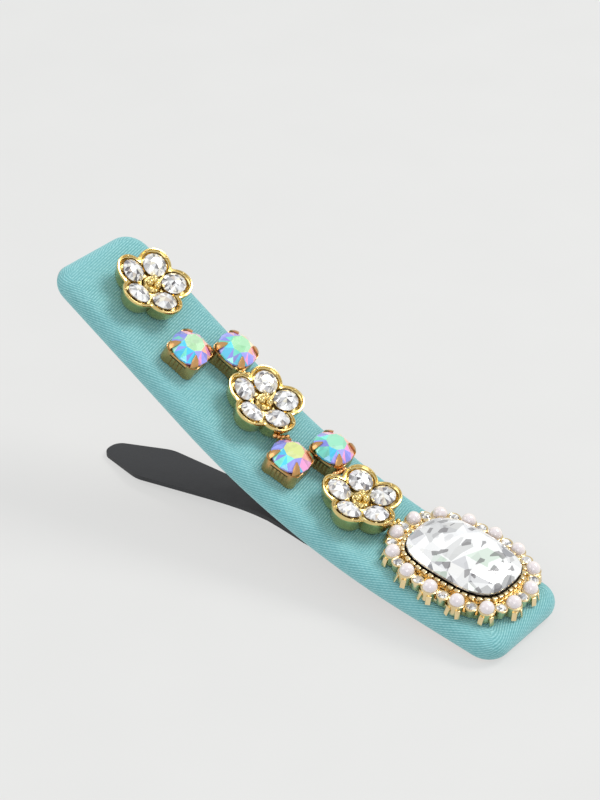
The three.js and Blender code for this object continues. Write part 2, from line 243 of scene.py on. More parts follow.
def linear(red, green, blue):
    """A colour given as 0 to 255 on screen, as the linear values a shader takes."""

    def one(value):
        value /= 255.0
        return value / 12.92 if value <= 0.04045 else ((value + 0.055) / 1.055) ** 2.4

    return (one(red), one(green), one(blue), 1.0)


def make_rib_group():
    """Rows of yarn: the height of ribs of one pitch, with small breaks along each rib."""
    group = add_group(
        "yarn_ribs",
        [
            ("Across", "NodeSocketFloat", 0.0),
            ("Along", "NodeSocketFloat", 0.0),
            ("Pitch", "NodeSocketFloat", 0.46),
            ("Float", "NodeSocketFloat", 0.9),
        ],
        [("Rib", "NodeSocketFloat")],
    )
    n = Nodes(group)
    source = n.add("NodeGroupInput")
    out = n.add("NodeGroupOutput")
    phase = n.math("DIVIDE", source.outputs["Across"], source.outputs["Pitch"])
    rib = n.math("COSINE", n.math("MULTIPLY", phase, 2 * math.pi))
    row = n.math("FLOOR", n.math("ADD", phase, 0.5))
    step = n.math("DIVIDE", source.outputs["Along"], source.outputs["Float"])
    stagger = n.math("FRACT", n.math("MULTIPLY_ADD", row, 0.37, step))
    stitch = n.math("ABSOLUTE", n.math("SUBTRACT", stagger, 0.5))
    lift = n.ramp(stitch, 0.0, 0.42, 1.0, 0.62)
    wave = n.ramp(rib, -1.0, 1.0)
    n.put(out.inputs["Rib"], n.math("MULTIPLY", wave, lift))
    return group


def make_grime_group():
    """Slow and fine unevenness for plated or painted metal: a mask and a height."""
    group = add_group(
        "metal_unevenness",
        [("Place", "NodeSocketVector", None), ("Grain", "NodeSocketFloat", 1.0)],
        [("Mask", "NodeSocketFloat"), ("Height", "NodeSocketFloat")],
    )
    n = Nodes(group)
    source = n.add("NodeGroupInput")
    out = n.add("NodeGroupOutput")
    slow = n.noise(source.outputs["Place"], 320.0, 3.0)
    fine = n.noise(source.outputs["Place"], 2600.0, 2.0, 0.6)
    n.put(out.inputs["Mask"], n.ramp(slow, 0.3, 0.7))
    n.put(out.inputs["Height"], n.math("MULTIPLY_ADD", fine, source.outputs["Grain"], slow))
    return group


RIBS = make_rib_group()
GRIME = make_grime_group()


def use_group(n, group, **values):
    node = n.tree.nodes.new("ShaderNodeGroup")
    node.node_tree = group
    for key, value in values.items():
        n.put(node.inputs[key], value)
    return node.outputs


def make_twill():
    """Turquoise twill. Ribs run across the top; round the skirt the cloth is turned, so its ribs slant.
    The rest attribute holds s, y and the distance down the skirt, before the bar is bent."""
    material, n, shader = new_material(
        "turquoise_twill",
        Roughness=0.8,
        Sheen_Weight=0.4,
        Sheen_Roughness=0.45,
        Sheen_Tint=(0.72, 0.95, 0.94, 1.0),
        Specular_IOR_Level=0.25,
    )
    rest = n.add("ShaderNodeSeparateXYZ", Vector=n.attribute("rest").outputs["Vector"])
    s, y, down = rest.outputs["X"], rest.outputs["Y"], rest.outputs["Z"]
    half = BAR_WIDTH / 2
    skewed = n.math("MULTIPLY_ADD", y, TOP_SKEW, s)
    on_top = use_group(n, RIBS, Across=skewed, Along=y, Pitch=TOP_PITCH, Float=TOP_FLOAT)
    from_side = n.math("SUBTRACT", half, n.math("ABSOLUTE", y))
    from_end = n.math("MINIMUM", s, n.math("SUBTRACT", BAR_LENGTH, s))
    at_end = n.math("LESS_THAN", from_end, from_side)
    way_side = n.math("MULTIPLY", s, n.math("SIGN", y))
    way_end = n.math("MULTIPLY", y, n.math("SIGN", n.math("SUBTRACT", BAR_LENGTH / 2, s)))
    way = n.math(
        "ADD",
        n.math("MULTIPLY", way_end, at_end),
        n.math("MULTIPLY", way_side, n.math("SUBTRACT", 1.0, at_end)),
    )
    sin_slant, cos_slant = math.sin(SKIRT_SLANT), math.cos(SKIRT_SLANT)
    across = n.math("MULTIPLY_ADD", down, -cos_slant, n.math("MULTIPLY", way, -sin_slant))
    run = n.math("MULTIPLY_ADD", down, -sin_slant, n.math("MULTIPLY", way, cos_slant))
    on_side = use_group(n, RIBS, Across=across, Along=run, Pitch=SKIRT_PITCH, Float=SKIRT_FLOAT)
    border = n.ramp(s, 0.0, BAR_LENGTH, -1.9, 0.5)
    skirt = n.math("MULTIPLY_ADD", n.math("SUBTRACT", down, border), 2.5, 0.5, clamp=True)
    rib = n.math(
        "ADD",
        n.math("MULTIPLY", on_top["Rib"], n.math("SUBTRACT", 1.0, skirt)),
        n.math("MULTIPLY", on_side["Rib"], skirt),
    )
    place = n.object_place()
    cloudy = n.noise(place, 90.0, 2.0)
    yarn = n.noise(place, 1500.0, 2.0, 0.6)
    # Painted shade: the grooves between ribs are coloured darker and the crests lighter, on top of the
    # bump.
    shade = n.mix(n.ramp(rib, 0.1, 0.95), linear(88, 149, 153), linear(142, 194, 196))
    tired = n.mix(n.ramp(cloudy, 0.35, 0.7, 0.0, 0.3), shade, linear(113, 170, 176))
    fleck = n.mix(n.ramp(yarn, 0.35, 0.7, 0.0, 0.14), tired, linear(176, 222, 222))
    hem = n.ramp(down, 5.75, 5.95)
    n.put(shader["Base Color"], n.mix(hem, fleck, linear(186, 138, 104)))
    height = n.math("MULTIPLY_ADD", yarn, 0.25, rib)
    n.put(shader["Normal"], n.bump(height, 0.0001, 0.65))
    return material


def make_metal(name, color, worn, roughness):
    """Plated metal that varies slowly between its colour and a worn one."""
    material, n, shader = new_material(name, Metallic=1.0, Roughness=roughness)
    uneven = use_group(n, GRIME, Place=n.object_place(), Grain=0.4)
    n.put(shader["Base Color"], n.mix(n.ramp(uneven["Mask"], 0.0, 1.0, 0.0, 0.7), color, worn))
    n.put(shader["Roughness"], n.ramp(uneven["Mask"], 0.0, 1.0, roughness * 0.7, roughness * 1.5))
    n.put(shader["Normal"], n.bump(uneven["Height"], 0.00003, 0.6))
    return material


def make_black_enamel():
    material, n, shader = new_material("matte_black_enamel", Roughness=0.55, Specular_IOR_Level=0.4)
    uneven = use_group(n, GRIME, Place=n.object_place(), Grain=1.2)
    n.put(shader["Base Color"], n.mix(uneven["Mask"], linear(34, 35, 37), linear(44, 45, 47)))
    n.put(shader["Roughness"], n.ramp(uneven["Mask"], 0.0, 1.0, 0.5, 0.66))
    n.put(shader["Normal"], n.bump(uneven["Height"], 0.00004, 0.5))
    return material


def make_stone(name, metallic, shard, shard_share):
    """Foil-backed glass: a tone for each facet, broken up by painted reflections, light and dark, of the
    shards that the back facets show, and by painted dark slivers, under a hard coat."""
    material, n, shader = new_material(
        name, Roughness=0.09, Metallic=metallic, Coat_Weight=1.0, Coat_Roughness=0.02, Coat_IOR=1.6
    )
    tone = n.attribute("facet_tone").outputs["Color"]
    place = n.object_place()
    bent = n.add("ShaderNodeVectorMath", operation="MULTIPLY")
    n.put(bent.inputs[0], place)
    bent.inputs[1].default_value = (1.0, 0.55, 0.8)
    # The shards are painted reflections, grey from dark to white, laid over the facet tones.
    cells = n.tree.nodes.new("ShaderNodeTexVoronoi")
    cells.inputs["Scale"].default_value = shard
    n.put(cells.inputs["Vector"], bent.outputs["Vector"])
    light_dark = n.tree.nodes.new("ShaderNodeSeparateColor")
    n.put(light_dark.inputs["Color"], cells.outputs["Color"])
    grey = n.ramp(light_dark.outputs["Red"], 0.15, 0.6, 0.12, 1.0)
    broken = n.mix(n.ramp(light_dark.outputs["Green"], 0.3, 0.8, 0.0, shard_share), tone, grey)
    # Fine slivers are painted a dark grey, as dark reflections in the facets.
    slivers = n.tree.nodes.new("ShaderNodeTexVoronoi")
    slivers.inputs["Scale"].default_value = shard * 2.4
    n.put(slivers.inputs["Vector"], bent.outputs["Vector"])
    dark = n.tree.nodes.new("ShaderNodeSeparateColor")
    n.put(dark.inputs["Color"], slivers.outputs["Color"])
    share = n.ramp(dark.outputs["Red"], 0.86, 0.88, 0.0, shard_share)
    n.put(shader["Base Color"], n.mix(share, broken, linear(96, 92, 94)))
    n.put(shader["Roughness"], n.ramp(light_dark.outputs["Blue"], 0.0, 1.0, 0.05, 0.16))
    return material


def make_pearl():
    """Pearl lacquer: a pale body with a painted lilac reflection in the middle, warming outward and
    darkening at its rim with painted shade and a painted gold reflection.
    """
    material, n, shader = new_material(
        "pearl_lacquer", Roughness=0.22, Coat_Weight=0.9, Coat_Roughness=0.06, Specular_IOR_Level=0.6
    )
    cloudy = n.noise(n.object_place(), 500.0, 2.0)
    # The colour follows how squarely each point faces the camera: a painted lilac reflection in the
    # middle, a warmer body further out, and painted shade with a painted gold reflection at the rim.
    facing = n.add("ShaderNodeLayerWeight", Blend=0.35).outputs["Facing"]
    body = n.mix(n.ramp(facing, 0.1, 0.55), linear(212, 204, 206), linear(230, 221, 212))
    edge = n.mix(n.ramp(facing, 0.5, 0.95), body, linear(168, 146, 112))
    n.put(shader["Base Color"], n.mix(n.ramp(cloudy, 0.35, 0.65, 0.0, 0.3), edge, linear(216, 204, 204)))
    n.put(shader["Normal"], n.bump(cloudy, 0.00002, 0.4))
    return material


def make_lining():
    material, n, shader = new_material("tan_lining", Roughness=0.85, Sheen_Weight=0.2)
    place = n.object_place()
    weave = n.tree.nodes.new("ShaderNodeTexWave")
    weave.bands_direction = "Y"
    weave.inputs["Scale"].default_value = 700.0
    weave.inputs["Distortion"].default_value = 0.6
    n.put(weave.inputs["Vector"], place)
    felt = n.noise(place, 1800.0, 3.0, 0.7)
    n.put(shader["Base Color"], n.mix(felt, linear(150, 100, 62), linear(196, 146, 98)))
    n.put(shader["Normal"], n.bump(n.math("ADD", weave.outputs["Fac"], felt), 0.00006, 0.6))
    return material


def make_plain_grain(name, dark, light, roughness, scale):
    material, n, shader = new_material(name, Roughness=roughness)
    grain = n.noise(n.object_place(), scale, 4.0, 0.65)
    n.put(shader["Base Color"], n.mix(n.ramp(grain, 0.3, 0.7), dark, light))
    n.put(shader["Normal"], n.bump(grain, 0.00008, 0.5))
    return material


TWILL = make_twill()
YELLOW_GOLD = make_metal("yellow_gold_plate", linear(234, 212, 148), linear(208, 176, 104), 0.17)
ROSE_GOLD = make_metal("antique_rose_gold", linear(228, 176, 118), linear(176, 132, 80), 0.24)
PALE_GOLD = make_metal("champagne_gold_plate", linear(242, 222, 176), linear(220, 190, 134), 0.2)
# The recess material is near black: painted shade for openings and hollows under the stones.
PAINTED_SHADE = make_metal("painted_shade_recess", linear(26, 22, 16), linear(60, 46, 26), 0.5)
SPRING_STEEL = make_metal("drawn_steel_wire", linear(176, 178, 182), linear(140, 142, 146), 0.3)
BLACK_ENAMEL = make_black_enamel()
CLEAR_STONE = make_stone("clear_foiled_stone", 0.45, 1100.0, 0.6)
CENTRE_STONE = make_stone("clear_cushion_stone", 0.5, 420.0, 0.7)
AURORA_STONE = make_stone("aurora_stone", 0.0, 700.0, 0.12)
PEARL = make_pearl()
LINING = make_lining()
FOAM = make_plain_grain("white_foam", linear(214, 208, 194), linear(240, 236, 226), 0.95, 900.0)
BOARD = make_plain_grain("grey_board", linear(176, 158, 124), linear(206, 190, 156), 0.9, 400.0)


# ---------------------------------------------------------------- shape helpers


def oval_reach(shape, angle):
    """How far a cushion oval of half axes a and b reaches at an angle."""
    a, b, power = shape
    across = abs(math.cos(angle) / a) ** power + abs(math.sin(angle) / b) ** power
    return across ** (-1 / power)


def wider(shape, by):
    return (shape[0] + by, shape[1] + by, shape[2])


def petal_reach(circle, lobe, angle):
    """How far an outline of five round petals reaches at an angle, and how near that angle is to a
    petal's tip."""
    off = (angle - FLOWER_PHASE + math.pi / 5) % (2 * math.pi / 5) - math.pi / 5
    side = circle * math.sin(off)
    reach = circle * math.cos(off) + math.sqrt(max(lobe * lobe - side * side, 0.02))
    return reach, math.cos(off * 2.5)


def ring(bm, count, place):
    """A loose ring of points; place gives the point at each angle."""
    points = bmesh.ops.create_circle(bm, cap_ends=False, segments=count, radius=1.0)["verts"]
    for index, vert in enumerate(points):
        vert.co = Vector(place(2 * math.pi * index / count))
    return points


def oval_ring(bm, count, shape, z, turn=0.0):
    def place(angle):
        reach = oval_reach(shape, angle + turn)
        return reach * math.cos(angle + turn), reach * math.sin(angle + turn), z

    return ring(bm, count, place)


def ring_edges(points):
    chosen = set(points)
    return list({edge for vert in points for edge in vert.link_edges if set(edge.verts) <= chosen})


def loft(bm, rings):
    """Skins a stack of rings and closes both ends."""
    edges = [ring_edges(points) for points in rings]
    for low, high in zip(edges, edges[1:]):
        bmesh.ops.bridge_loops(bm, edges=low + high)
    bmesh.ops.edgeloop_fill(bm, edges=edges[0])
    bmesh.ops.edgeloop_fill(bm, edges=edges[-1])


def oval_spots(shape, count, start=0.25):
    """Points at equal distances round an oval, with the outward direction at each."""
    fine = 720
    path = []
    for index in range(fine + 1):
        angle = 2 * math.pi * index / fine
        reach = oval_reach(shape, angle)
        path.append(Vector((reach * math.cos(angle), reach * math.sin(angle), 0.0)))
    run = [0.0]
    for before, after in zip(path, path[1:]):
        run.append(run[-1] + (after - before).length)
    spots = []
    for k in range(count):
        goal = ((start + k / count) % 1.0) * run[-1]
        index = next(i for i, distance in enumerate(run) if distance >= goal)
        index = max(index, 1)
        along_path = (path[index] - path[index - 1]).normalized()
        spots.append((path[index].copy(), math.atan2(-along_path.x, along_path.y)))
    return spots


def add_solid(bm, make, matrix, **options):
    """Adds one of bmesh's own shapes and puts it in place."""
    made = make(bm, **options)
    bmesh.ops.transform(bm, matrix=matrix, verts=made["verts"])
    return made["verts"]


def add_rod(bm, low, high, z0, z1, at=(0, 0), segments=16):
    """A round rod from z0 to z1, with a radius at each end."""
    matrix = Matrix.Translation((at[0], at[1], (z0 + z1) / 2))
    return add_solid(
        bm,
        bmesh.ops.create_cone,
        matrix,
        cap_ends=True,
        segments=segments,
        radius1=low,
        radius2=high,
        depth=z1 - z0,
    )


def add_ball(bm, radius, at, rows=8, segments=12):
    return add_solid(
        bm,
        bmesh.ops.create_uvsphere,
        Matrix.Translation(at),
        u_segments=segments,
        v_segments=rows,
        radius=radius,
    )


def add_rim(bm, radius, tube, at, segments, around):
    """A round wire ring, spun from a small circle."""
    profile = bmesh.ops.create_circle(bm, cap_ends=False, segments=around, radius=tube)
    turn = Matrix.Translation((radius, 0, 0)) @ Matrix.Rotation(math.pi / 2, 4, "X")
    bmesh.ops.transform(bm, matrix=turn, verts=profile["verts"])
    edges = list({edge for vert in profile["verts"] for edge in vert.link_edges})
    before = set(bm.verts) - set(profile["verts"])
    bmesh.ops.spin(
        bm,
        geom=profile["verts"] + edges,
        axis=(0, 0, 1),
        cent=(0, 0, 0),
        angle=2 * math.pi,
        steps=segments,
        use_merge=True,
    )
    made = [vert for vert in bm.verts if vert not in before]
    bmesh.ops.translate(bm, vec=at, verts=made)


def add_block(bm, size, matrix, bevel=0.0):
    """A box, with rounded edges where a bevel is given."""
    made = bmesh.ops.create_cube(bm, size=1.0)["verts"]
    bmesh.ops.transform(bm, matrix=Matrix.Diagonal((*size, 1.0)), verts=made)
    if bevel:
        edges = list({edge for vert in made for edge in vert.link_edges})
        before = set(bm.verts) - set(made)
        bmesh.ops.bevel(
            bm,
            geom=edges,
            offset=bevel,
            affect="EDGES",
            segments=2,
            profile=0.5,
            material=-1,
        )
        made = [vert for vert in bm.verts if vert not in before]
    bmesh.ops.transform(bm, matrix=matrix, verts=made)
    return made


def finish_piece(bm, name, material, replaces=(), smooth=True, body="bar", matrix=None):
    """Turns a shape in millimetres into a piece. Its second material is the recess material, painted dark
    as shade.
    """
    if matrix is not None:
        bmesh.ops.transform(bm, matrix=matrix, verts=bm.verts[:])
    bmesh.ops.recalc_face_normals(bm, faces=bm.faces[:])
    bmesh.ops.scale(bm, vec=(MM, MM, MM), verts=bm.verts[:])
    for face in bm.faces:
        face.smooth = smooth
    mesh = bpy.data.meshes.new(name)
    bm.to_mesh(mesh)
    bm.free()
    piece = bpy.data.objects.new(name, mesh)
    bpy.context.scene.collection.objects.link(piece)
    mesh.materials.append(material)
    if any(polygon.material_index for polygon in mesh.polygons):
        mesh.materials.append(PAINTED_SHADE)
    if smooth:
        chosen = {"object": piece, "active_object": piece, "selected_editable_objects": [piece]}
        with bpy.context.temp_override(**chosen):
            bpy.ops.object.shade_smooth_by_angle(angle=SMOOTH_ANGLE)
    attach(piece, body)
    if replaces:
        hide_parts(*replaces)
    return piece


# ---------------------------------------------------------------- the padded bar


def make_cover():
    """The twill cover: a block rounded at its corners and edges, cut into bands, crowned, and bent."""
    bm = bmesh.new()
    bmesh.ops.create_cube(bm, size=1.0)
    size = (BAR_LENGTH, BAR_WIDTH, BAR_THICKNESS)
    bmesh.ops.transform(bm, matrix=Matrix.Diagonal((*size, 1.0)), verts=bm.verts[:])
    bmesh.ops.translate(bm, vec=(BAR_LENGTH / 2, 0, -BAR_THICKNESS / 2), verts=bm.verts[:])
    upright = [e for e in bm.edges if abs(e.verts[0].co.z - e.verts[1].co.z) > 1]
    bmesh.ops.bevel(
        bm, geom=upright, offset=CORNER_RADIUS, affect="EDGES", segments=8, profile=0.5, material=-1
    )
    level = [e for e in bm.edges if abs(e.verts[0].co.z - e.verts[1].co.z) < 0.01]
    outline = [e for e in level if any(abs(f.normal.z) < 0.5 for f in e.link_faces)]
    bmesh.ops.bevel(
        bm, geom=outline, offset=BAR_EDGE, affect="EDGES", segments=7, profile=0.5, material=-1
    )
    cuts = [((k * BAR_LENGTH / COVER_BANDS, 0, 0), (1, 0, 0)) for k in range(1, COVER_BANDS)]
    across = range(-COVER_CUTS_ACROSS, COVER_CUTS_ACROSS + 1)
    cuts += [((0, k * COVER_CUT_GAP, 0), (0, 1, 0)) for k in across]
    for place, normal in cuts:
        geometry = bm.verts[:] + bm.edges[:] + bm.faces[:]
        bmesh.ops.bisect_plane(bm, geom=geometry, plane_co=place, plane_no=normal, dist=1e-4)
    rest = bm.verts.layers.float_vector.new("rest")
    for vert in bm.verts:
        s, y, h = vert.co
        vert[rest] = Vector((s, y, down_the_skirt(s, y, h)))
    for vert in bm.verts:
        s, y, h = vert.co
        vert.co = bar_point(s, y, h + cloth_swell(s, y, h))
    piece = finish_piece(bm, "twill_cover", TWILL, ["cloth_cover"])


def inward(s, y):
    """The distance in from the bar's rounded outline."""
    past_x = abs(s - BAR_LENGTH / 2) - (BAR_LENGTH / 2 - CORNER_RADIUS)
    past_y = abs(y) - (BAR_WIDTH / 2 - CORNER_RADIUS)
    if past_x > 0 and past_y > 0:
        return CORNER_RADIUS - math.hypot(past_x, past_y)
    return CORNER_RADIUS - max(past_x, past_y)


def down_the_skirt(s, y, h):
    """The distance over the rounded edge and down the wall; below nought on the flat top."""
    depth = inward(s, y)
    if h < -BAR_EDGE:
        return BAR_EDGE * math.pi / 2 - h - BAR_EDGE
    if depth > BAR_EDGE:
        return BAR_EDGE - depth
    return math.atan2(BAR_EDGE - depth, h + BAR_EDGE) * BAR_EDGE


def cloth_swell(s, y, h):
    """How far the cloth stands off the flat: a soft crown, held down round each setting."""
    if h < -BAR_THICKNESS / 2:
        return 0.0
    depth = max(inward(s, y), 0.0)
    crown = CROWN_RISE * math.sin(min(depth / CROWN_REACH, 1.0) * math.pi / 2)
    tail = min(max((s - DROOP_START) / (BAR_LENGTH - DROOP_START), 0.0), 1.0)
    droop = DROOP * tail * tail * (BAR_THICKNESS + h) / BAR_THICKNESS
    press = 0.0
    for place, reach in settings_on_bar():
        distance = math.hypot(s - place[0], y - place[1]) - reach
        press = max(press, math.exp(-(max(distance, 0.0) ** 2) / PRESS_SPREAD))
    ripple = RIPPLE * math.sin(s * 0.9 + y * 0.35) * math.sin(s * 0.37 - y * 0.6)
    return (crown + ripple * min(depth / RIPPLE_FADE, 1.0)) * (1.0 - PRESS_SHARE * press) - droop


def settings_on_bar():
    """The place and the radius of each foot that stands on the cloth."""
    spots = [(place, 5.6) for place in FLOWERS]
    spots += [(place, 4.0) for place in CRYSTALS]
    spots += [((BROOCH[0] + shift, BROOCH[1]), 9.6) for shift in (-2.5, 0.0, 2.5)]
    return spots


# ---------------------------------------------------------------- stones

# Facet tones as 0 to 255 on screen: clear stones, where each tone is a painted reflection or painted
# shade in a facet, the aurora coating round a stone, and each table.
REFLECTION_TONES = [
    (255, 255, 253),
    (250, 250, 248),
    (244, 243, 240),
    (226, 226, 226),
    (206, 206, 208),
    (176, 175, 178),
    (128, 124, 128),
    (84, 80, 84),
    (240, 234, 214),
    (206, 194, 182),
]
AURORA_TONES = [
    (132, 142, 236),
    (112, 226, 206),
    (66, 206, 248),
    (150, 150, 246),
    (238, 150, 206),
    (244, 166, 140),
    (236, 220, 160),
    (228, 170, 190),
    (172, 140, 220),
]
TABLE_TONES = [(160, 204, 156), (140, 202, 152), (196, 206, 128), (138, 206, 174)]


def tone_facets(bm, choose):
    """Gives each facet one tone."""
    layer = bm.loops.layers.float_color.new("facet_tone")
    bm.normal_update()
    for face in bm.faces:
        tone = linear(*choose(face))
        for loop in face.loops:
            loop[layer] = tone


def reflection_facets(bm, seed, tones):
    # Each facet takes one painted reflection tone, drawn at random from the list.
    chooser = random.Random(seed)
    tone_facets(bm, lambda face: chooser.choice(tones))


def aurora_facets(bm, seed, table_tone):
    """The coating's colours follow one another round the stone; the table keeps its own."""
    chooser = random.Random(seed)

    def choose(face):
        middle = face.calc_center_median()
        if face.normal.z > 0.93 and middle.z > 0.5:
            return table_tone
        turn = math.atan2(middle.y, middle.x) / (2 * math.pi) + 0.5
        step = turn * len(AURORA_TONES) + chooser.uniform(-0.9, 0.9)
        tone = AURORA_TONES[int(step) % len(AURORA_TONES)]
        shade = chooser.uniform(0.86, 1.06)
        return [min(value * shade, 255) for value in tone]

    tone_facets(bm, choose)


def hull(bm):
    """Closes a cloud of rings into one convex stone and joins the triangles that lie flat together."""
    bmesh.ops.convex_hull(bm, input=bm.verts[:])
    bmesh.ops.dissolve_limit(bm, angle_limit=0.01, verts=bm.verts[:], edges=bm.edges[:])


def poke_table(bm, lift):
    """Raises the middle of a stone's flat top a little, so that it has facets too."""
    table = [face for face in bm.faces if face.normal.z > 0.99 and face.calc_center_median().z > 0]
    bmesh.ops.poke(bm, faces=table, offset=lift, center_mode="MEAN")


def cut_round_stone(radius, crown):
    """A round stone: a thin girdle, crown facets in two steps up to the table, and a short underside."""
    bm = bmesh.new()
    r = radius
    for count, reach, z, turn in (
        (16, r, 0.0, 0.0),
        (16, r, 0.09 * r, 0.0),
        (8, 0.8 * r, 0.6 * crown, 0.2),
        (8, 0.52 * r, crown, 0.2 + math.pi / 8),
        (8, 0.45 * r, -0.35 * r, 0.0),
    ):
        oval_ring(bm, count, (reach, reach, 2.0), z, turn)
    hull(bm)
    return bm


def cut_centre_crystal():
    """The big cushion stone: a high crown in four steps of facets that close on a ridge-like top."""
    bm = bmesh.new()
    for count, shrink, z, turn in (
        (36, 1.0, 0.0, 0.0),
        (36, 1.0, 0.4, 0.0),
        (12, 0.9, 1.35, 0.15),
        (10, 0.7, 2.25, 0.4),
        (4, 0.36, 2.95, 0.55),
        (12, 0.6, -1.2, 0.0),
    ):
        a, b, power = CENTRE_OVAL
        oval_ring(bm, count, (a * shrink, b * shrink, power), z, turn)
    hull(bm)
    # The cushion stone's facets take painted reflections and painted shade, white to grey, with one pale
    # green tone.
    reflection_facets(bm, 21, REFLECTION_TONES[:6] + [(255, 255, 253)] * 4 + [(214, 228, 214), (150, 150, 154)])
    return bm


# ---------------------------------------------------------------- stone flowers


def petal_spots():
    return [
        (PETAL_CIRCLE * math.cos(angle), PETAL_CIRCLE * math.sin(angle), angle)
        for angle in (FLOWER_PHASE + k * 2 * math.pi / 5 for k in range(5))
    ]


# The bowl from its foot, over the lip, to its floor: the petals' circle and radius, the height, and how
# much the tips stand higher than the notches.
FLOWER_LEVELS = [
    (3.1, 2.1, 0.0, 0.0),
    (3.7, 2.65, 0.7, 0.0),
    (4.1, 3.05, 1.9, 0.1),
    (4.27, 3.15, 3.3, 0.35),
    (4.27, 3.38, 3.62, 0.6),
    (4.27, 3.42, 3.85, 0.75),
    (4.27, 3.3, 4.05, 0.8),
    (4.27, 3.08, 4.06, 0.78),
    (4.27, 3.0, 3.88, 0.72),
    (4.27, 2.9, 3.96, 0.68),
    (4.27, 2.72, 3.9, 0.55),
    (4.27, 2.6, 3.6, 0.35),
    (4.2, 2.5, 3.0, 0.0),
]
LIP_REACH = 2.95
LIP_HEIGHT = 4.5
KNOT_CIRCLE = 0.8


def make_flower(index):
    """A bowl of five bulging petals with a rolled and beaded lip, and a knot of balls in the middle."""
    bm = bmesh.new()
    rings = []
    for circle, lobe, z, rise in FLOWER_LEVELS:

        def place(angle, circle=circle, lobe=lobe, z=z, rise=rise):
            reach, tip = petal_reach(circle, lobe, angle)
            return reach * math.cos(angle), reach * math.sin(angle), z + rise * tip

        rings.append(ring(bm, 90, place))
    loft(bm, rings)
    add_rod(bm, 2.3, 1.5, 2.5, PETAL_HEIGHT + 0.1)
    for x, y, angle in petal_spots():
        for side in (-0.75, 0.75):
            way = angle + side
            bead = (x + LIP_REACH * math.cos(way), y + LIP_REACH * math.sin(way), LIP_HEIGHT)
            add_ball(bm, 0.24, bead, 6, 8)
    for k in range(3):
        angle = FLOWER_PHASE + 0.4 + k * 2 * math.pi / 3
        ball = (KNOT_CIRCLE * math.cos(angle), KNOT_CIRCLE * math.sin(angle), PETAL_HEIGHT + 0.45)
        add_ball(bm, 0.72, ball, 12, 16)
    add_ball(bm, 0.55, (0, 0, PETAL_HEIGHT + 0.95), 10, 14)
    name = f"flower_{index + 1}"
    stand = on_bar(FLOWERS[index], 0.0, 0.15)
    finish_piece(bm, f"{name}_bowl", YELLOW_GOLD, [f"{name}_setting"], matrix=stand)
    for k, (x, y, angle) in enumerate(petal_spots()):
        stone = cut_round_stone(PETAL_STONE, 0.95)
        poke_table(stone, 0.12)
        reflection_facets(stone, 100 * index + k, REFLECTION_TONES)
        lean = Matrix.Rotation(angle, 4, "Z") @ Matrix.Rotation(-PETAL_LEAN, 4, "Y")
        seat = stand @ Matrix.Translation((x, y, PETAL_HEIGHT + 0.05)) @ lean
        node = f"{name}_stone_{k + 1}"
        name_cut = f"{node}_cut"
        finish_piece(stone, name_cut, CLEAR_STONE, [node], smooth=False, matrix=seat)


# ---------------------------------------------------------------- claw-set crystals

# A claw from its foot to its tip: the share of its length, its reach, its height and its width.
CLAW_STEPS = [
    (0.0, CRYSTAL_STONE + 0.1, 1.0, 0.9),
    (0.3, CRYSTAL_STONE + 0.4, 2.5, 1.35),
    (0.55, CRYSTAL_STONE + 0.42, CRYSTAL_HEIGHT + 0.25, 1.55),
    (0.8, CRYSTAL_STONE - 0.35, CRYSTAL_HEIGHT + 1.1, 1.25),
    (1.0, CRYSTAL_STONE - 1.25, CRYSTAL_HEIGHT + 1.75, 0.25),
]
FLUTES = (-1.6, -0.8, 0.0, 0.8, 1.6)
FLUTE_INSET = 0.38
CUP_CORNER = 1.2


def between_steps(steps, t):
    """The values a share t of the way along a list of steps."""
    for low, high in zip(steps, steps[1:]):
        if t <= high[0] + 1e-6:
            share = (t - low[0]) / (high[0] - low[0])
            return [a + (b - a) * share for a, b in zip(low[1:], high[1:])]
    return list(steps[-1][1:])


def make_claw(bm, angle):
    """A leaf-shaped tongue that rises at a corner and folds over the stone's edge."""
    verts = bmesh.ops.create_grid(bm, x_segments=4, y_segments=12, size=1.0)["verts"]
    for vert in verts:
        reach, z, width = between_steps(CLAW_STEPS, (vert.co.y + 1) / 2)
        round_back = 0.16 * (1 - vert.co.x**2)
        vert.co = Vector((reach + round_back, vert.co.x * width / 2, z))
    faces = list({face for vert in verts for face in vert.link_faces})
    bmesh.ops.recalc_face_normals(bm, faces=faces)
    made = bmesh.ops.solidify(bm, geom=faces, thickness=0.3)["geom"]
    moved = {vert for item in made if isinstance(item, bmesh.types.BMFace) for vert in item.verts}
    bmesh.ops.transform(bm, matrix=Matrix.Rotation(angle, 4, "Z"), verts=list(moved | set(verts)))


